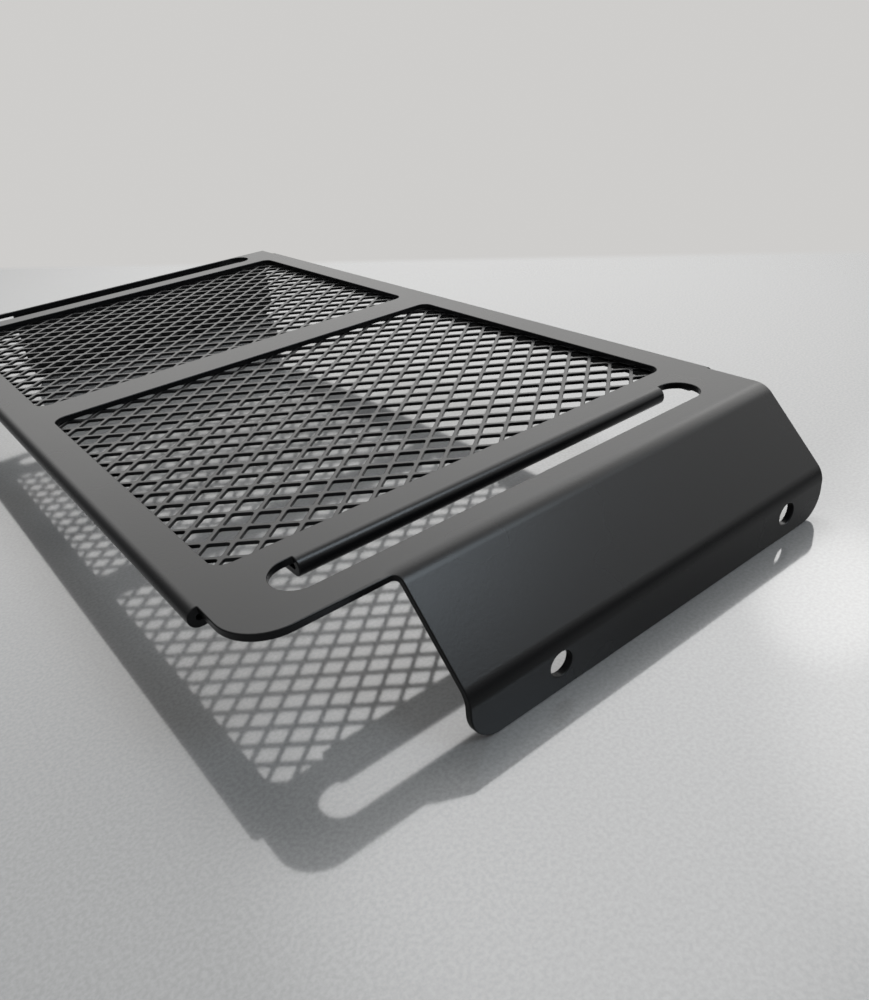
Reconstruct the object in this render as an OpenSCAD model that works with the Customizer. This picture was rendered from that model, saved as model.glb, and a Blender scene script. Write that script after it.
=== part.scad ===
// Motorcycle radiator guard: one folded frame sheet that clamps one expanded-mesh panel.
// X runs across the guard, Y along it away from the screw flange, Z up from the rest plane.
// The origin is in the middle of the guard's outline, at the height of the flanges' lower edges.

/* [Sheet] */
// Thickness of the frame sheet, coating included
sheet_t = 2; // [1.2:0.1:2.2]
// Height of the sheet's top face over the lower edges of the flanges
guard_h = 35; // [33:1:50]

/* [Windows] */
// Width of each window, across the guard
win_w = 150; // [120:1:200]
// Length of each window, along the guard
win_l = 119; // [80:1:150]
// Rounding of the window corners
win_r = 4; // [2:0.5:10]
// Width of the crossbar between the two windows
bar_w = 15; // [10:1:30]
// Flat strip from a window to the fold of a side hem
side_w = 8.8; // [7:0.2:14]
// Flat strip from a window to the fold of a slot hem
end_w = 8; // [6:0.5:12]

/* [Hems and slots] */
// How far a side hem runs past the window ends
hem_over = 10; // [6:0.5:13]
// Width of the slot that a folded flap leaves open
slot_w = 12.6; // [11:0.2:15]
// How far the slots sit off the middle, towards the right side
slot_x = 0.5; // [0:0.1:1]
// Length of the flap folded under at each slot
flap_w = 123.5; // [80:0.5:134]
// How far the flaps sit off the middle, towards the right side
flap_x = 1.2; // [0:0.1:2]
// Room at a flap's right end, up to the centre of the slot's round end
flap_gap = 1; // [0.3:0.1:2]

/* [Mesh] */
// Thickness of the mesh panel, also the room for it inside the hems
mesh_t = 1.2; // [0.8:0.1:2]
// Spacing of the mesh openings across the guard
cell_x = 32.4; // [30:0.2:45]
// Spacing of the mesh openings along the guard
cell_y = 25.9; // [24:0.1:36]
// Width of a mesh strand
strand_w = 3; // [2:0.2:5]

/* [Near flange] */
// Strip from the near slot to the bend of the flange
near_strip = 6.2; // [5:0.2:12]
// How much further the sheet's free edge beside the flange lies
near_more = 2.4; // [1:0.1:4]
// X of the left edge of both flanges
flange_x = -47.8; // [-70:0.2:-30]
// First bend of the near flange, in degrees
slope_deg = 46.5; // [30:0.5:55]
// How far the near flange reaches out from its bend
flange_out = 23.6; // [19:0.2:26]
// Outer radius of the two bends in the near flange
bend_r = 7.2; // [3:0.1:8]
// Outer radius of the bend of the far flange
far_bend_r = 3.2; // [2.6:0.1:4]
// Rounding of the lower corners of the flanges
flange_r = 8; // [4:0.5:12]

/* [Screw holes] */
// Diameter of the two screw holes
hole_d = 6.5; // [5:0.1:7]
// Spacing of the two screw holes
hole_gap = 88; // [60:1:100]
// Distance of the first hole from the left edge of the flange
hole_in = 26.3; // [12:0.1:32]
// Height of the screw holes over the lower edge
hole_h = 7.2; // [6:0.1:8]

/* [Corners] */
// Rounding of the free corner beside the near flange
corner_r = 11.5; // [4:0.5:14]
// Rounding of the free corner beside the far flange
far_corner_r = 7; // [2:0.5:8]
// Width of the rim left between the far slot and the far edge
far_rim = 2; // [1.6:0.1:4]

/* [Hidden] */
$fn = 96;

sheet_c = [0.16, 0.16, 0.17];
mesh_c = [0.22, 0.22, 0.23];

// Inner radii of the flanges' bends
bend_in = bend_r - sheet_t;
far_bend_in = far_bend_r - sheet_t;
// Inner radius of a hem, set by the mesh it clamps
hem_in = mesh_t / 2;
// Free edges of the folded leaves stay this far back from the window edges
leaf_back = 0.8;
// Amount by which cutting shapes run past the faces they cut
past = 1;

half_x = win_w / 2 + side_w;
span = 2 * win_l + bar_w;
fold_y = span / 2 + end_w;
slot_y = fold_y + slot_w / 2;
slot_cx = flap_w / 2 + flap_x + flap_gap - slot_x;
near_y = fold_y + slot_w + near_strip;
free_y = near_y + near_more;
far_y = fold_y + slot_w + far_rim;
far_bend = fold_y + slot_w + 0.4;
hem_len = span + 2 * hem_over;
flange_l = half_x - flange_x;
// Outer faces of the two flanges, counted from the middle of the crossbar
near_out = near_y + flange_out;
far_out = far_bend + far_bend_r;
// The crossbar lies this far from the middle of the outline
bar_y = (near_out - far_out) / 2;

// Mesh edges stay this far inside the folds
mesh_back = 0.6;
mesh_x = 2 * (half_x - mesh_back);
mesh_y = 2 * (fold_y - mesh_back);

// Rectangle centred on the origin with four rounded corners
module rounded(w, l, r) {
    square([w, l - 2 * r], center = true);
    square([w - 2 * r, l], center = true);
    for (sx = [-1, 1], sy = [-1, 1])
        translate([sx * (w / 2 - r), sy * (l / 2 - r)]) circle(r);
}

// Slot with round ends
module slot() {
    square([2 * slot_cx, slot_w], center = true);
    for (sx = [-1, 1]) translate([sx * slot_cx, 0]) circle(slot_w / 2);
}

// Corner waste: what a rounding of radius r takes off a corner at the origin
module waste(r) {
    difference() {
        translate([-past, -past]) square(r + past);
        translate([r, r]) circle(r);
    }
}

// Flat part of the sheet, seen from above
module flat() {
    difference() {
        translate([-half_x, -free_y]) square([2 * half_x, free_y + far_y]);
        for (s = [-1, 1]) {
            translate([0, s * (win_l + bar_w) / 2]) rounded(win_w, win_l, win_r);
            translate([slot_x, s * slot_y]) slot();
        }
        translate([-half_x, -free_y]) waste(corner_r);
        translate([-half_x, far_y]) mirror([0, 1]) waste(far_corner_r);
        // where a flange stands the sheet ends at its bend
        translate([flange_x, -free_y - past]) square([flange_l + past, near_more + past]);
        translate([flange_x, far_bend]) square([flange_l + past, far_rim + past]);
    }
}

// Profiles of folded sheet: it runs along +x with its top face on y = 0
// A bend of 90 or 180 degrees
module turn(deg, ri) {
    reach = 3 * (ri + sheet_t);
    translate([0, -ri - sheet_t]) intersection() {
        difference() {
            circle(ri + sheet_t);
            circle(ri);
        }
        translate([0, deg > 90 ? -reach : 0]) square([reach, deg > 90 ? 2 * reach : reach]);
    }
}

// Carries what follows round the bend
module after(deg, ri) {
    translate([0, -ri - sheet_t]) rotate(-deg) translate([0, ri + sheet_t]) children();
}

module run(len) {
    translate([0, -sheet_t]) square([len, sheet_t]);
}

// Closed hem: half turn and a flat leaf that lies back under the strip
module hem(leaf) {
    turn(180, hem_in);
    after(180, hem_in) run(leaf);
}

// Near flange: slopes down, then stands upright
rest_deg = 90 - slope_deg;
// Set-back of a bend: from where it starts to where the straight faces would meet
set_a = bend_r * tan(slope_deg / 2);
set_b = bend_r * tan(rest_deg / 2);
slope_l = (flange_out - set_a) / cos(slope_deg) - set_a - set_b;
upright_l = guard_h - (flange_out - set_a) * tan(slope_deg) - set_b;
// Steps in each of the two bends
bend_n = 12;

// Points of a bend round centre c, from a0 to a1 degrees off upright
function arcPoints(c, r, a0, a1) =
    [for (k = [0:bend_n]) let (a = a0 + (a1 - a0) * k / bend_n) c + r * [sin(a), cos(a)]];

module nearProfile() {
    c1 = [0, -bend_r];
    c2 = c1 + slope_l * [cos(slope_deg), -sin(slope_deg)];
    foot = c2 + [bend_r, -upright_l];
    polygon(concat(
        arcPoints(c1, bend_r, 0, slope_deg), arcPoints(c2, bend_r, slope_deg, 90),
        [foot, foot - [sheet_t, 0]],
        arcPoints(c2, bend_in, 90, slope_deg), arcPoints(c1, bend_in, slope_deg, 0)));
}

// Far flange: one square bend that starts at the slot's far edge
module farProfile() {
    turn(90, far_bend_in);
    after(90, far_bend_in) run(guard_h - far_bend_r);
}

// Block that takes off a lower flange corner, for a flange in the X-Z plane
module cornerCut(y0, y1) {
    translate([0, y1, 0]) rotate([90, 0, 0]) linear_extrude(y1 - y0) waste(flange_r);
}

module nearFlange() {
    out_y = -near_out;
    difference() {
        translate([half_x, -near_y, guard_h]) rotate([90, 0, -90])
            linear_extrude(flange_l) nearProfile();
        translate([flange_x, 0, 0]) cornerCut(out_y - past, out_y + bend_r + past);
        translate([half_x, 0, 0]) mirror([1, 0, 0]) cornerCut(out_y - past, out_y + bend_r + past);
        for (i = [0, 1])
            translate([flange_x + hole_in + i * hole_gap, out_y + sheet_t + past, hole_h])
                rotate([90, 0, 0]) cylinder(d = hole_d, h = sheet_t + 2 * past);
    }
}

module farFlange() {
    difference() {
        translate([flange_x, far_bend, guard_h]) rotate([90, 0, 90])
            linear_extrude(flange_l) farProfile();
        translate([flange_x, 0, 0]) cornerCut(far_bend - past, far_out + past);
        translate([half_x, 0, 0]) mirror([1, 0, 0]) cornerCut(far_bend - past, far_out + past);
    }
}

module frame_sheet() {
    color(sheet_c) {
        translate([0, 0, guard_h - sheet_t]) linear_extrude(sheet_t) flat();
        for (s = [0, 1]) mirror([s, 0, 0])
            translate([half_x, hem_len / 2, guard_h]) rotate([90, 0, 0])
                linear_extrude(hem_len) hem(side_w - leaf_back);
        for (s = [0, 1]) mirror([0, s, 0])
            translate([flap_x - flap_w / 2, fold_y, guard_h]) rotate([90, 0, 90])
                linear_extrude(flap_w) hem(end_w - leaf_back);
        nearFlange();
        farFlange();
    }
}

// One diamond opening of the mesh
module diamond() {
    hx = cell_x / 2 - strand_w * sqrt(1 + pow(cell_x / cell_y, 2)) / 2;
    hy = hx * cell_y / cell_x;
    polygon([[-hx, 0], [0, -hy], [hx, 0], [0, hy]]);
}

// Lattice of openings, each row offset by half against the next
module openings() {
    nx = ceil(win_w / cell_x);
    ny = ceil(span / cell_y);
    for (i = [-nx:nx], j = [-ny:ny])
        if ((i + j) % 2 == 0)
            translate([i * cell_x / 2, j * cell_y / 2]) diamond();
}

module mesh_panel() {
    color(mesh_c)
        translate([0, 0, guard_h - sheet_t - mesh_t]) linear_extrude(mesh_t) difference() {
            square([mesh_x, mesh_y], center = true);
            intersection() {
                square([win_w, span], center = true);
                openings();
            }
        }
}

translate([0, bar_y, 0]) frame_sheet();
translate([0, bar_y, 0]) mesh_panel();
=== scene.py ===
import bpy
import numpy as np
from mathutils import Matrix, Vector
from mathutils.geometry import delaunay_2d_cdt


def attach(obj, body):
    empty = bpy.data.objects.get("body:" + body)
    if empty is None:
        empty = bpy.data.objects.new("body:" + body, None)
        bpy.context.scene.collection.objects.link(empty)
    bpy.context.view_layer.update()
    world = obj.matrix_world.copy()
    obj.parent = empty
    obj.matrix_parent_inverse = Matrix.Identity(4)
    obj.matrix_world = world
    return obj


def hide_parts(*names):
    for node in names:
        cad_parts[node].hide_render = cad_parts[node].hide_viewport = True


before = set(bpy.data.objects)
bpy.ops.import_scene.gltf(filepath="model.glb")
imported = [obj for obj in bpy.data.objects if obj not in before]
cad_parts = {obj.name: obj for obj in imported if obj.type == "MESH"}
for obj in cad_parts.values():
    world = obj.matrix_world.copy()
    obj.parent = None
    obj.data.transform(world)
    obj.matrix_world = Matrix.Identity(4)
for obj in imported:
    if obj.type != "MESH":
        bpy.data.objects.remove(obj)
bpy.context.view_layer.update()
print("frame loaded")

scene = bpy.context.scene
mm = 0.001

# The camera of the photo, solved on the plate's straight edges: place in metres, axes, lens in mm
view = {
    "location": (-0.12368, -0.26467, 0.13153),
    "right": (0.779427, -0.620113, -0.089181),
    "up": (0.36729, 0.336976, 0.866917),
    "back": (-0.507535, -0.708454, 0.490409),
    "lens": 30.0, "sensor": 36.0, "clipStart": 0.005,
}


def makeCamera():
    cameraData = bpy.data.cameras.new("camera")
    cameraData.lens = view["lens"]
    cameraData.sensor_width = view["sensor"]
    cameraData.sensor_fit = "AUTO"
    cameraData.clip_start = view["clipStart"]
    camera = bpy.data.objects.new("camera", cameraData)
    axes = Matrix((view["right"], view["up"], view["back"])).transposed().to_4x4()
    camera.matrix_world = Matrix.Translation(view["location"]) @ axes
    scene.collection.objects.link(camera)
    scene.camera = camera


makeCamera()
print("camera made")


def newMaterial(name):
    material = bpy.data.materials.new(name)
    material.use_nodes = True
    tree = material.node_tree
    return material, tree, tree.nodes["Principled BSDF"]


# Adds a shader node: an input that is a socket is linked, any other value is set
def addNode(tree, kind, inputs=None, **settings):
    node = tree.nodes.new(kind)
    for key, value in settings.items():
        setattr(node, key, value)
    for key, value in (inputs or {}).items():
        if isinstance(value, bpy.types.NodeSocket):
            tree.links.new(value, node.inputs[key])
        else:
            node.inputs[key].default_value = value
    return node


# Satin powder coat: an orange peel of about 0.7 mm with finer pits, and wide soft changes of gloss
coat = {
    "colour": (0.003, 0.0031, 0.0034, 1), "ior": 1.5,
    "roughness": 0.27, "roughSpread": 0.02, "cloudScale": 18.0,
    "specular": 0.2,    # under half of plain plastic: the photo shows the table only faintly in the coat
    "peelScale": 1500.0, "pitScale": 4050.0, "peelHeight": 0.00006, "bumpStrength": 0.25,
}


def powderCoat(name, values):
    material, tree, shader = newMaterial(name)
    place = addNode(tree, "ShaderNodeTexCoord").outputs["Object"]
    peel = addNode(tree, "ShaderNodeTexNoise", {
        "Vector": place, "Scale": values["peelScale"], "Detail": 2.0})
    pits = addNode(tree, "ShaderNodeTexNoise", {
        "Vector": place, "Scale": values["pitScale"], "Detail": 1.0})
    heights = addNode(tree, "ShaderNodeMath", {
        0: peel.outputs["Fac"], 1: pits.outputs["Fac"]}, operation="ADD")
    bump = addNode(tree, "ShaderNodeBump", {
        "Height": heights.outputs[0], "Strength": values["bumpStrength"], "Distance": values["peelHeight"]})
    cloud = addNode(tree, "ShaderNodeTexNoise", {
        "Vector": place, "Scale": values["cloudScale"], "Detail": 3.0})
    rough = addNode(tree, "ShaderNodeMapRange", {
        "Value": cloud.outputs["Fac"], "From Min": 0.3, "From Max": 0.7,
        "To Min": values["roughness"] - values["roughSpread"],
        "To Max": values["roughness"] + values["roughSpread"]})
    shader.inputs["Base Color"].default_value = values["colour"]
    shader.inputs["IOR"].default_value = values["ior"]
    shader.inputs["Specular IOR Level"].default_value = values["specular"]
    tree.links.new(rough.outputs[0], shader.inputs["Roughness"])
    tree.links.new(bump.outputs[0], shader.inputs["Normal"])
    return material


coatMaterial = powderCoat("satinBlackCoat", coat)

# Lengths in mm, angles in degrees. The sheet is drawn flat, with x across the guard, y along it from the
# middle of the crossbar and h down from its top face, and then folded.
sheet = {
    "thick": 2.0, "height": 35.0, "edgeRound": 0.32,
    "windowWide": 150.0, "windowLong": 119.0, "windowRound": 4.0, "bar": 15.0,
    "sideStrip": 8.8, "endStrip": 8.0, "hemOver": 10.0, "meshRoom": 1.2, "leafBack": 0.8,
    "slotWide": 12.6, "slotShift": 0.5, "flapLong": 123.5, "flapShift": 1.2, "flapGap": 1.0,
    "leafRound": 0.8, "rootRound": 0.25,
    "nearStrip": 6.2, "nearMore": 2.4, "flangeLeft": -47.8, "slope": 46.5, "flangeOut": 23.6,
    "bendRound": 7.2, "farBendRound": 3.2, "flangeRound": 8.0, "innerRound": 1.5, "rimFade": 5.0,
    "freeRound": 11.5, "farRound": 7.0, "farRim": 2.0, "farGap": 0.4,
    "hole": 6.5, "holeGap": 88.0, "holeIn": 26.3, "holeHigh": 7.2,
}

thick = sheet["thick"]
halfX = sheet["windowWide"] / 2 + sheet["sideStrip"]
spanY = sheet["windowLong"] + sheet["bar"] / 2
foldY = spanY + sheet["endStrip"]
slotY = foldY + sheet["slotWide"] / 2
nearY = foldY + sheet["slotWide"] + sheet["nearStrip"]
freeY = nearY + sheet["nearMore"]
farY = foldY + sheet["slotWide"] + sheet["farRim"]
farBend = foldY + sheet["slotWide"] + sheet["farGap"]
hemY = spanY + sheet["hemOver"]
bendIn = sheet["bendRound"] - thick
farBendIn = sheet["farBendRound"] - thick
flapL, flapR = sheet["flapShift"] - sheet["flapLong"] / 2, sheet["flapShift"] + sheet["flapLong"] / 2
slotX = flapR + sheet["flapGap"] - sheet["slotShift"]
hemIn = sheet["meshRoom"] / 2
nearOut = nearY + sheet["flangeOut"]
farOut = farBend + sheet["farBendRound"]
barY = (nearOut - farOut) / 2     # the crossbar's place in the shared frame
slope = np.radians(sheet["slope"])
setA = sheet["bendRound"] * np.tan(slope / 2)
setB = sheet["bendRound"] * np.tan((np.pi / 2 - slope) / 2)
slopeRun = (sheet["flangeOut"] - setA) / np.cos(slope) - setA - setB
uprightRun = sheet["height"] - (sheet["flangeOut"] - setA) * np.tan(slope) - setB

# each fold: list of (flat length before the bend, angle of the bend, inner radius)
hemFold = [(0.0, np.pi, hemIn)]
nearFold = [(0.0, slope, bendIn), (slopeRun, np.pi / 2 - slope, bendIn)]
farFold = [(0.0, np.pi / 2, farBendIn)]


def bendLength(angle, inner):
    return angle * (inner + thick / 2)


sideLeaf = bendLength(np.pi, hemIn) + sheet["sideStrip"] - sheet["leafBack"]
flapLeaf = bendLength(np.pi, hemIn) + sheet["endStrip"] - sheet["leafBack"]
nearLong = sum(run + bendLength(angle, inner) for run, angle, inner in nearFold) + uprightRun
farLong = bendLength(np.pi / 2, farBendIn) + sheet["height"] - sheet["farBendRound"]


# Point of a folded strip: a straight run goes along its heading, and a bend turns round a centre one outer
# radius under the top face, by the arc length on the middle layer over the middle radius.
# Ease under 1 widens the radius, so that the bend fades out.
def foldStrip(s, h, bends, ease=1.0):
    reach, rise = s.copy(), -h.copy()
    baseX, baseZ, heading, start = 0.0, 0.0, 0.0, 0.0
    for run, angle, inner in bends:
        baseX, baseZ = baseX + run * np.cos(heading), baseZ - run * np.sin(heading)
        start = start + run
        outer = (inner + thick) / np.maximum(ease, 0.002)
        middle = outer - thick / 2
        turned = np.clip((s - start) / middle, 0, angle)
        inBend = s > start
        centreX, centreZ = baseX - outer * np.sin(heading), baseZ - outer * np.cos(heading)
        a = heading + turned
        past = np.maximum(s - start - middle * angle, 0)
        reach = np.where(inBend, centreX + (outer - h) * np.sin(a) + past * np.cos(a), reach)
        rise = np.where(inBend, centreZ + (outer - h) * np.cos(a) - past * np.sin(a), rise)
        heading = heading + angle
        baseX, baseZ = centreX + outer * np.sin(heading), centreZ + outer * np.cos(heading)
        start = start + middle * angle
    return reach, rise


# Folds every point of the flat sheet: side leaves across x, flaps and flanges across y
def foldSheet(points):
    x, y, h = points.T
    outX, outY, outZ = x.copy(), y.copy(), -h
    side = np.abs(x) > halfX
    reach, rise = foldStrip(np.abs(x) - halfX, h, hemFold)
    outX = np.where(side, np.sign(x) * (halfX + reach), outX)
    outZ = np.where(side, rise, outZ)
    flap = (x > flapL - sheet["rootRound"]) & (x < flapR + sheet["rootRound"])
    flap &= (np.abs(y) > foldY) & (np.abs(y) < foldY + flapLeaf + 0.3)
    reach, rise = foldStrip(np.abs(y) - foldY, h, hemFold)
    outY = np.where(flap, np.sign(y) * (foldY + reach), outY)
    outZ = np.where(flap, rise, outZ)
    # beside the flanges' left edges the first bends fade out into the flat rims
    ease = np.clip((x - sheet["flangeLeft"]) / sheet["rimFade"] + 1, 0, 1)
    ease = ease * ease * (3 - 2 * ease)
    near = y < -nearY
    reach, rise = foldStrip(-y - nearY, h, nearFold, ease)
    outY = np.where(near, -nearY - reach, outY)
    outZ = np.where(near, rise, outZ)
    far = y > farBend
    reach, rise = foldStrip(y - farBend, h, farFold, ease)
    outY = np.where(far, farBend + reach, outY)
    outZ = np.where(far, rise, outZ)
    return np.stack([outX, outY + barY, outZ + sheet["height"]], 1)


# Arc of a circle from one angle to the other, in degrees
def arc(cx, cy, radius, start, stop, steps):
    a = np.radians(np.linspace(start, stop, steps + 1))
    return np.stack([cx + radius * np.cos(a), cy + radius * np.sin(a)], 1)


# Closed outline with the corners of a polygon rounded: each corner (x, y, radius) becomes the arc that
# touches both of its sides
def roundedLoop(corners, arcStep=7.5):
    pts = np.array([c[:2] for c in corners], float)
    loop = []
    for i, (x, y, radius) in enumerate(corners):
        p, before, after = pts[i], pts[i - 1], pts[(i + 1) % len(pts)]
        u, v = (p - before) / np.linalg.norm(p - before), (after - p) / np.linalg.norm(after - p)
        cross = u[0] * v[1] - u[1] * v[0]
        turn = np.arctan2(cross, u @ v)
        if radius <= 0:
            loop.append(p[None])
            continue
        centre = p - u * radius * np.tan(abs(turn) / 2) + np.sign(turn) * radius * np.array([-u[1], u[0]])
        start = np.degrees(np.arctan2(-np.sign(turn) * u[0], np.sign(turn) * u[1]))
        steps = max(3, int(np.ceil(abs(np.degrees(turn)) / arcStep)))
        loop.append(arc(centre[0], centre[1], radius, start, start + np.degrees(turn), steps))
    loop = np.concatenate(loop)
    keep = np.linalg.norm(loop - np.roll(loop, 1, 0), axis=1) > 1e-5
    return loop[keep]


# Places of the fold rows across a strip's bends, as flat length from the first bend's start
def bendRows(bends, steps):
    rows, start = [], 0.0
    for run, angle, inner in bends:
        start += run
        rows.append(start + np.linspace(0, bendLength(angle, inner), steps + 1))
        start += bendLength(angle, inner)
    return np.concatenate(rows)


hemRows = bendRows(hemFold, 20)
nearRows = bendRows(nearFold, 10)
farRows = bendRows(farFold, 16)

left, right = sheet["flangeLeft"], halfX
leafOut = halfX + sideLeaf
leafR, rootR = sheet["leafRound"], sheet["rootRound"]
outline = roundedLoop([
    (-halfX, -freeY, sheet["freeRound"]),
    (left, -freeY, sheet["innerRound"]),
    (left, -nearY - nearLong, sheet["flangeRound"]),
    (right, -nearY - nearLong, sheet["flangeRound"]),
    (right, -hemY, rootR), (leafOut, -hemY, leafR), (leafOut, hemY, leafR), (right, hemY, rootR),
    (right, farBend + farLong, sheet["flangeRound"]),
    (left, farBend + farLong, sheet["flangeRound"]),
    (left, farY, rootR),
    (-halfX, farY, sheet["farRound"]),
    (-halfX, hemY, rootR), (-leafOut, hemY, leafR), (-leafOut, -hemY, leafR), (-halfX, -hemY, rootR),
])


def windowLoop(centreY):
    w, l, r = sheet["windowWide"] / 2, sheet["windowLong"] / 2, sheet["windowRound"]
    return roundedLoop([
        (-w, centreY - l, r), (-w, centreY + l, r), (w, centreY + l, r), (w, centreY - l, r)])


# Cut round a flap: the slot with its round ends, less the flap that is still flat in it. It runs clockwise,
# so that the sheet lies on its left
def slotCut(side):
    radius, tip = sheet["slotWide"] / 2, foldY + flapLeaf
    loop = np.concatenate([
        arc(sheet["slotShift"] - slotX, slotY, radius, 270, 90, 40),
        arc(sheet["slotShift"] + slotX, slotY, radius, 90, -90, 40),
        arc(flapR + rootR, foldY + rootR, rootR, 270, 180, 3),
        arc(flapR - leafR, tip - leafR, leafR, 0, 90, 6),
        arc(flapL + leafR, tip - leafR, leafR, 90, 180, 6),
        arc(flapL - rootR, foldY + rootR, rootR, 0, -90, 3),
    ])
    if side < 0:
        loop = (loop * [1, -1])[::-1]
    return loop


def holeLoop(x, y, radius):
    return arc(x, y, radius, 360, 0, 48)[:-1]


holeY = -nearY - nearLong + sheet["holeHigh"]
holeXs = [left + sheet["holeIn"], left + sheet["holeIn"] + sheet["holeGap"]]
windowY = (sheet["windowLong"] + sheet["bar"]) / 2
loops = [outline, windowLoop(-windowY), windowLoop(windowY), slotCut(-1), slotCut(1)]
loops += [holeLoop(x, holeY, sheet["hole"] / 2) for x in holeXs]

# fold rows: (axis that is constant, its value, from, to)
rows = []
for s in (-1, 1):
    rows += [(0, s * (halfX + d), -hemY, hemY) for d in hemRows]
    rows += [(1, s * (foldY + d), flapL, flapR) for d in hemRows]
fadeLeft = left - sheet["rimFade"]
besideRim = sheet["nearMore"] + sheet["innerRound"]
rows += [(1, -nearY - d, fadeLeft if d < besideRim else left, right) for d in nearRows]
rows += [(1, farBend + d, fadeLeft, right) for d in farRows]


# Adds a point wherever a fold row crosses the outline
def splitLoop(loop):
    pieces = []
    ends = np.roll(loop, -1, 0)
    for p, q in zip(loop, ends):
        cuts = [0.0]
        for axis, value, low, high in rows:
            if abs(q[axis] - p[axis]) > 1e-9:
                t = (value - p[axis]) / (q[axis] - p[axis])
                along = p[1 - axis] + t * (q[1 - axis] - p[1 - axis])
                if 1e-4 < t < 1 - 1e-4 and low - 0.6 < along < high + 0.6:
                    cuts.append(t)
        cuts = np.sort(np.array(cuts))
        pieces.append(p + np.outer(cuts, q - p))
    loop = np.concatenate(pieces)
    keep = np.linalg.norm(loop - np.roll(loop, 1, 0), axis=1) > 2e-3
    return loop[keep]


# Outward direction at each point of a loop, scaled so that moving along it keeps the sides parallel
def mitres(loop):
    ahead = np.roll(loop, -1, 0) - loop
    ahead /= np.linalg.norm(ahead, axis=1, keepdims=True)
    side = np.stack([ahead[:, 1], -ahead[:, 0]], 1)
    last = np.roll(side, 1, 0)
    return (side + last) / (1 + (side * last).sum(1, keepdims=True))


# Profile of the coated edge: quarter round, straight wall, quarter round, as inset, depth and normal
def edgeProfile(radius, depth, steps):
    a = np.linspace(np.pi / 2, 0, steps + 1)
    inset, down = radius * (1 - np.cos(a)), radius * (1 - np.sin(a))
    inset = np.concatenate([inset, inset[::-1]])
    down = np.concatenate([down, depth - down[::-1]])
    lean = np.concatenate([a, -a[::-1]])
    return inset, down, np.cos(lean), np.sin(lean)


# Even-odd test: a point is inside where a line from it crosses the loops an odd number of times
def insideLoops(points, allLoops):
    inside = np.zeros(len(points), bool)
    for loop in allLoops:
        nxt = np.roll(loop, -1, 0)
        for (ax, ay), (bx, by) in zip(loop, nxt):
            if ay == by:
                continue
            hit = (ay > points[:, 1]) != (by > points[:, 1])
            inside ^= hit & (points[:, 0] < (bx - ax) * (points[:, 1] - ay) / (by - ay) + ax)
    return inside


# Smooth coated piece with its own normals
def addPiece(name, points, faces, normals):
    shape = bpy.data.meshes.new(name)
    shape.from_pydata(points.tolist(), [], faces)
    shape.update()
    shape.polygons.foreach_set("use_smooth", np.ones(len(shape.polygons), bool))
    shape.normals_split_custom_set_from_vertices(normals.tolist())
    piece = bpy.data.objects.new(name, shape)
    scene.collection.objects.link(piece)
    shape.materials.append(coatMaterial)
    return piece


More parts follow.
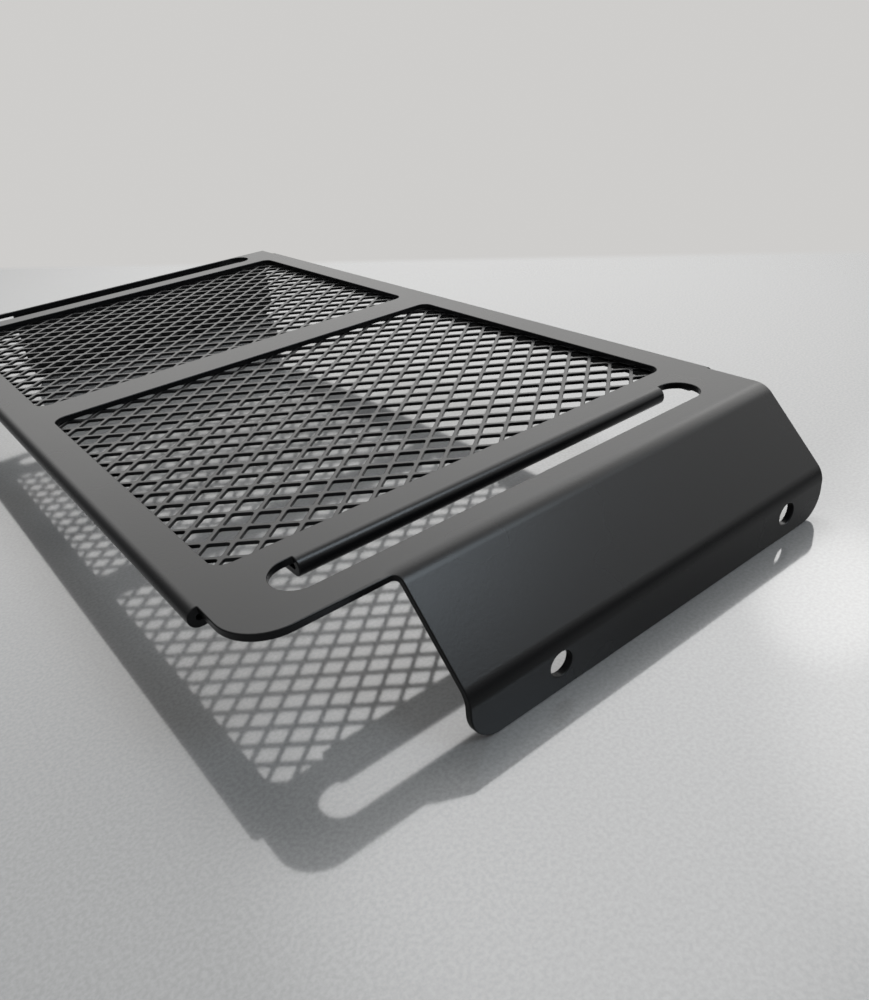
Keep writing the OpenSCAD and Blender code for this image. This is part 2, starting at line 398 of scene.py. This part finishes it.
# Folded sheet: every outline carries the edge profile, both faces are filled with triangles that follow
# the fold rows, and all points are then folded with their normals
def makeFrameSheet():
    splitLoops = [splitLoop(loop) for loop in loops]
    outs = [mitres(loop) for loop in splitLoops]
    inset, down, lean, up = edgeProfile(sheet["edgeRound"], thick, 4)
    last = len(inset) - 1
    insetLoops = [loop - out * inset[0] for loop, out in zip(splitLoops, outs)]
    flat = np.concatenate(insetLoops)
    starts = np.cumsum([0] + [len(loop) for loop in insetLoops])
    edges = []
    for start, loop in zip(starts, insetLoops):
        n = len(loop)
        edges += [(start + i, start + (i + 1) % n) for i in range(n)]
    extra, extraEdges = [], []
    for axis, value, low, high in rows:
        line = np.array([[value, t] if axis == 0 else [t, value] for t in (low, high)], float)
        ids = []
        for end, inner in ((line[0], 1), (line[1], -1)):
            near = np.argmin(np.abs(flat - end).sum(1))
            if np.linalg.norm(flat[near] - end) < 1.2:
                ids.append(int(near))
            else:
                extra.append(end)
                ids.append(len(flat) + len(extra) - 1)
        rim = farY if value > 0 else freeY
        if axis == 1 and low == fadeLeft and abs(value) < rim - sheet["edgeRound"]:
            chain = [ids[0]]
            for t in np.linspace(low, left, 11)[1:]:
                extra.append(np.array([t, value]))
                chain.append(len(flat) + len(extra) - 1)
            chain.append(ids[1])
        elif axis == 1 and low == fadeLeft:
            near = np.argmin(np.abs(flat - np.array([left + sheet["edgeRound"], value])).sum(1))
            if ids[0] >= len(flat):
                extra.pop()
            chain = [int(near), ids[1]]
        else:
            chain = ids
        extraEdges += list(zip(chain[:-1], chain[1:]))
    allFlat = np.concatenate([flat, np.array(extra)]) if extra else flat
    result = delaunay_2d_cdt([Vector(p) for p in allFlat.tolist()], edges + extraEdges, [], 0, 1e-6)
    verts = np.array([tuple(v) for v in result[0]])
    tris = np.array(result[2])
    origin = result[3]
    middle = verts[tris].mean(1)
    tris = tris[insideLoops(middle, insetLoops)]
    a, b, c = verts[tris[:, 0]], verts[tris[:, 1]], verts[tris[:, 2]]
    area = (b[:, 0] - a[:, 0]) * (c[:, 1] - a[:, 1]) - (b[:, 1] - a[:, 1]) * (c[:, 0] - a[:, 0])
    tris = np.where((area < 0)[:, None], tris[:, ::-1], tris)
    tris = tris[np.abs(area) > 1e-9]
    lost = [i for i, o in enumerate(origin) if not o]
    print("frame sheet: outline points", len(flat), "cap triangles", len(tris), "new points", len(lost))
    # cap vertices that come from an outline point take that point's index
    capIndex = np.full(len(verts), -1)
    for i, o in enumerate(origin):
        first = [k for k in o if k < len(flat)]
        if first:
            capIndex[i] = first[0]
    free = np.where(capIndex < 0)[0]
    free = free[np.isin(free, tris)]
    ringCount = len(flat)
    rings = len(inset)
    # vertex order: rings of the edge profile, then free points of the top face, then of the bottom face
    flatAll, normalAll = [], []
    sideLoop, outAll = np.concatenate(splitLoops), np.concatenate(outs)
    unit = outAll / np.linalg.norm(outAll, axis=1, keepdims=True)
    for k in range(rings):
        flatAll.append(np.column_stack([sideLoop - outAll * inset[k], np.full(ringCount, down[k])]))
        normalAll.append(np.column_stack([unit * lean[k], np.full(ringCount, -up[k])]))
    for depth, way in ((0.0, -1.0), (thick, 1.0)):
        flatAll.append(np.column_stack([verts[free], np.full(len(free), depth)]))
        normalAll.append(np.tile([0, 0, way], (len(free), 1)))
    flatAll, normalAll = np.concatenate(flatAll), np.concatenate(normalAll)
    top, bottom = capIndex.copy(), capIndex + last * ringCount
    top[free] = rings * ringCount + np.arange(len(free))
    bottom[free] = rings * ringCount + len(free) + np.arange(len(free))
    faces = [tuple(t) for t in top[tris].tolist()] + [tuple(t[::-1]) for t in bottom[tris].tolist()]
    for start, loop in zip(starts, insetLoops):
        n = len(loop)
        i = np.arange(n) + start
        j = (np.arange(n) + 1) % n + start
        for k in range(rings - 1):
            quads = np.column_stack([i + k * ringCount, i + (k + 1) * ringCount,
                                     j + (k + 1) * ringCount, j + k * ringCount])
            faces += [tuple(q) for q in quads.tolist()]
    # a face of no width, where two outline points fell together, is left out
    faces = [f for f in faces if len(set(f)) == len(f)]
    points = foldSheet(flatAll)
    nudge = foldSheet(flatAll + normalAll * 0.002) - points
    normals = nudge / np.linalg.norm(nudge, axis=1, keepdims=True)
    piece = addPiece("frameSheet", points * mm, faces, normals)
    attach(piece, "root")
    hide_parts("frame_sheet")


makeFrameSheet()
print("frame sheet made")

# Flattened expanded metal. Lengths in mm; first is the middle of one cell, from the middle of the crossbar.
mesh = {
    "cellWide": 10.7, "cellLong": 8.75, "strand": 1.2, "thick": 1.08, "edgeRound": 0.22, "cornerRound": 0.7,
    "first": (-1.1, 2.4), "edgeX": 83.0, "edgeY": 133.7, "air": 0.04,
}


# A cell is a rhombus between strand middles, less a rounded rhombus whose rim carries the edge profile
def makeMesh():
    halfW, halfL = mesh["cellWide"] / 2, mesh["cellLong"] / 2
    cut = mesh["strand"] * np.hypot(1, halfW / halfL) / 2
    openW = halfW - cut
    openL = openW * halfL / halfW
    cutLoop = roundedLoop([(-openW, 0, mesh["cornerRound"]), (0, openL, mesh["cornerRound"]),
                           (openW, 0, mesh["cornerRound"]), (0, -openL, mesh["cornerRound"])], 45)
    out = mitres(cutLoop)
    unit = out / np.linalg.norm(out, axis=1, keepdims=True)
    inset, down, lean, up = edgeProfile(mesh["edgeRound"], mesh["thick"], 2)
    n, rings = len(cutLoop), len(inset)
    rhombus = np.array([[-halfW, 0], [0, halfL], [halfW, 0], [0, -halfL]])
    pts, nrm = [], []
    for k in range(rings):
        pts.append(np.column_stack([cutLoop - out * inset[k], np.full(n, -down[k])]))
        nrm.append(np.column_stack([unit * lean[k], np.full(n, up[k])]))
    for depth, way in ((0.0, 1.0), (-mesh["thick"], -1.0)):
        pts.append(np.column_stack([rhombus, np.full(4, depth)]))
        nrm.append(np.tile([0, 0, way], (4, 1)))
    pts, nrm = np.concatenate(pts), np.concatenate(nrm)
    # faces of one cell: walls, then both flat faces between the cut and the rhombus
    quads, tris = [], []
    for k in range(rings - 1):
        for i in range(n):
            j = (i + 1) % n
            quads.append((i + k * n, i + (k + 1) * n, j + (k + 1) * n, j + k * n))
    angle = np.arctan2(cutLoop[:, 1] / halfL, cutLoop[:, 0] / halfW)
    rimAngle = np.arctan2(rhombus[:, 1] / halfL, rhombus[:, 0] / halfW)
    quadrant = [int(np.argmin(np.abs((rimAngle - a + np.pi) % (2 * np.pi) - np.pi))) for a in angle]
    base = rings * n
    for i in range(n):
        j = (i + 1) % n
        a, b = quadrant[i], quadrant[j]
        if a == b:
            tris += [(j, base + a, i), (i + (rings - 1) * n, base + 4 + a, j + (rings - 1) * n)]
        else:
            quads.append((j, base + b, base + a, i))
            quads.append((i + (rings - 1) * n, base + 4 + a, base + 4 + b, j + (rings - 1) * n))
    count = int(mesh["edgeX"] / halfW) + 2, int(mesh["edgeY"] / halfL) + 2
    gridI, gridJ = np.meshgrid(np.arange(-count[0], count[0] + 1), np.arange(-count[1], count[1] + 1))
    even = (gridI + gridJ) % 2 == 0
    firstX, firstY = mesh["first"]
    centres = np.column_stack([gridI[even] * halfW + firstX, gridJ[even] * halfL + firstY])
    reach = np.abs(centres) + [halfW, halfL]
    centres = centres[(reach < [mesh["edgeX"], mesh["edgeY"]]).all(1)]
    cells = len(centres)
    offset = np.column_stack([centres, np.zeros(cells)])
    allPts = (pts[None] + offset[:, None]).reshape(-1, 3)
    allNrm = np.tile(nrm, (cells, 1))
    shift = (np.arange(cells) * len(pts))[:, None, None]
    allQuads = (np.array(quads)[None] + shift).reshape(-1, 4)
    allTris = (np.array(tris)[None] + shift).reshape(-1, 3)
    # neighbouring cells share the corners of their rhombi
    key = np.round(allPts * 200).astype(np.int64)
    _, firstUse, back = np.unique(key, axis=0, return_index=True, return_inverse=True)
    back = back.reshape(-1)
    points, normals = allPts[firstUse], allNrm[firstUse]
    allQuads, allTris = back[allQuads], back[allTris]
    # outer rim: rhombus sides used by one cell only get a wall
    rim, corner = [], np.arange(cells) * len(pts) + base
    for a in range(4):
        b = (a + 1) % 4
        rim.append(np.column_stack([back[corner + k] for k in (a, b, 4 + b, 4 + a)]))
    rim = np.concatenate(rim)
    side = np.sort(rim[:, :2], 1)
    _, index, uses = np.unique(side, axis=0, return_index=True, return_counts=True)
    rim = rim[index[uses == 1]]
    faces = [tuple(f) for f in allQuads.tolist()] + [tuple(f) for f in allTris.tolist()]
    faces += [tuple(f[::-1]) for f in rim.tolist()]
    topZ = sheet["height"] - thick - mesh["air"]
    points = points + [0, barY, topZ]
    piece = addPiece("expandedMesh", points * mm, faces, normals)
    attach(piece, "root")
    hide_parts("mesh_panel")
    print("mesh: cells", cells, "faces", len(faces))


makeMesh()

# The polished table, the wall beyond it and the key lamp, in metres
stage = {
    "tableHalf": 12.0, "tableColour": (0.13, 0.131, 0.132), "tableRough": 0.07, "tableIor": 1.6,
    "speckle": 0.09, "speckScale": 1100.0,
    "tableEdge": ((0.006, 0.457), (0.354, -0.038)),    # two points of the far edge, seen from above
    "edgeSoft": 0.012,
    "wallColour": (0.62, 0.612, 0.60, 1),
    "keyFrom": (0.275, 0.485, 1.0), "keyDistance": 1.5, "keySize": 0.55, "keyPower": 11.5,
}

# Light of the room by direction: each glow is (direction, cosine where it starts, cosine where it is full,
# strength, colour)
room = {
    "base": 0.46,
    "glows": [
        ((0.50, 0.62, 0.60), 0.55, 0.97, 2.26, (1.0, 0.99, 0.97)),
        ((0.50, 0.44, 0.75), 0.90, 0.985, 1.9, (1.0, 1.0, 1.0)),
        ((0.75, 0.34, 0.57), 0.9955, 0.9994, 1.6, (1.0, 0.99, 0.97)),
        ((0.81, 0.06, 0.57), 0.93, 0.985, 1.9, (1.0, 0.99, 0.97)),
        ((0.39, -0.51, 0.77), 0.965, 0.994, 10.0, (0.78, 0.90, 1.0)),
        ((0.78, -0.42, 0.46), 0.82, 0.98, 1.1, (1.0, 0.99, 0.97)),
        ((0.0, 0.0, 1.0), 0.3, 1.0, 0.35, (1.0, 1.0, 1.0)),
    ],
    # sine of elevation where the room is darkest, where it is full, and the dark share
    "horizon": (0.05, 0.45, 0.28),
}


def makeFloor():
    r = stage["tableHalf"]
    shape = bpy.data.meshes.new("floor")
    shape.from_pydata([(-r, -r, 0), (r, -r, 0), (r, r, 0), (-r, r, 0)], [], [(0, 1, 2, 3)])
    floor = bpy.data.objects.new("floor", shape)
    scene.collection.objects.link(floor)
    material, tree, shader = newMaterial("paleTable")
    place = addNode(tree, "ShaderNodeTexCoord").outputs["Object"]
    speck = addNode(tree, "ShaderNodeTexNoise", {
        "Vector": place, "Scale": stage["speckScale"], "Detail": 3.0})
    grain = addNode(tree, "ShaderNodeMapRange", {
        "Value": speck.outputs["Fac"], "From Min": 0.35, "From Max": 0.65,
        "To Min": 1 - stage["speckle"], "To Max": 1 + stage["speckle"]})
    tint = addNode(tree, "ShaderNodeVectorMath", {
        0: stage["tableColour"], "Scale": grain.outputs[0]}, operation="SCALE")
    tree.links.new(tint.outputs[0], shader.inputs["Base Color"])
    shader.inputs["Roughness"].default_value = stage["tableRough"]
    shader.inputs["IOR"].default_value = stage["tableIor"]
    # beyond the table's edge the camera sees the pale wall
    start, end = Vector(stage["tableEdge"][0]), Vector(stage["tableEdge"][1])
    side = Vector(((start - end).y, (end - start).x)).normalized()
    out = addNode(tree, "ShaderNodeVectorMath", {0: place, 1: (side.x, side.y, 0)}, operation="DOT_PRODUCT")
    beyond = addNode(tree, "ShaderNodeMapRange", {
        "Value": out.outputs["Value"],
        "From Min": side @ start, "From Max": side @ start + stage["edgeSoft"]})
    seen = addNode(tree, "ShaderNodeLightPath")
    share = addNode(tree, "ShaderNodeMath", {
        0: beyond.outputs[0], 1: seen.outputs["Is Camera Ray"]}, operation="MULTIPLY")
    wall = addNode(tree, "ShaderNodeEmission", {"Color": stage["wallColour"], "Strength": 1.0})
    mix = addNode(tree, "ShaderNodeMixShader", {
        0: share.outputs[0], 1: shader.outputs[0], 2: wall.outputs[0]})
    tree.links.new(mix.outputs[0], tree.nodes["Material Output"].inputs["Surface"])
    shape.materials.append(material)


# The room's light depends on direction only: broad glows beyond the object and at its right, and a cool one
# over the near flange. Low directions are dimmed, as by far walls. The camera itself sees the pale wall.
def makeRoom():
    world = bpy.data.worlds.new("room")
    scene.world = world
    world.use_nodes = True
    tree = world.node_tree
    tree.nodes.clear()
    way = addNode(tree, "ShaderNodeTexCoord").outputs["Generated"]
    total = (room["base"],) * 3
    for direction, starts, full, strength, colour in room["glows"]:
        aim = Vector(direction).normalized()
        near = addNode(tree, "ShaderNodeVectorMath", {0: way, 1: aim}, operation="DOT_PRODUCT")
        fade = addNode(tree, "ShaderNodeMapRange", {
            "Value": near.outputs["Value"], "From Min": starts, "From Max": full, "To Max": strength},
            interpolation_type="SMOOTHSTEP")
        part = addNode(tree, "ShaderNodeVectorMath", {
            0: colour, "Scale": fade.outputs[0]}, operation="SCALE")
        joined = addNode(tree, "ShaderNodeVectorMath", {0: total, 1: part.outputs[0]}, operation="ADD")
        total = joined.outputs[0]
    low, high, share = room["horizon"]
    rise = addNode(tree, "ShaderNodeSeparateXYZ", {"Vector": way}).outputs["Z"]
    dim = addNode(tree, "ShaderNodeMapRange", {
        "Value": rise, "From Min": low, "From Max": high, "To Min": share})
    seen = addNode(tree, "ShaderNodeLightPath")
    light = addNode(tree, "ShaderNodeBackground", {"Color": total, "Strength": dim.outputs[0]})
    wall = addNode(tree, "ShaderNodeBackground", {"Color": stage["wallColour"], "Strength": 1.0})
    mix = addNode(tree, "ShaderNodeMixShader", {
        0: seen.outputs["Is Camera Ray"], 1: light.outputs[0], 2: wall.outputs[0]})
    end = addNode(tree, "ShaderNodeOutputWorld")
    tree.links.new(mix.outputs[0], end.inputs["Surface"])


def makeKeyLight():
    lampData = bpy.data.lights.new("key", "AREA")
    lampData.shape = "DISK"
    lampData.size = stage["keySize"]
    lampData.energy = stage["keyPower"]
    lamp = bpy.data.objects.new("key", lampData)
    way = Vector(stage["keyFrom"]).normalized()
    lamp.location = way * stage["keyDistance"]
    lamp.rotation_euler = way.to_track_quat("Z", "Y").to_euler()
    # its reflection would draw a line on the bends that the object doesn't show
    lamp.visible_glossy = False
    scene.collection.objects.link(lamp)


makeFloor()
makeRoom()
makeKeyLight()
scene.view_settings.view_transform = "Standard"
print("floor and light made")
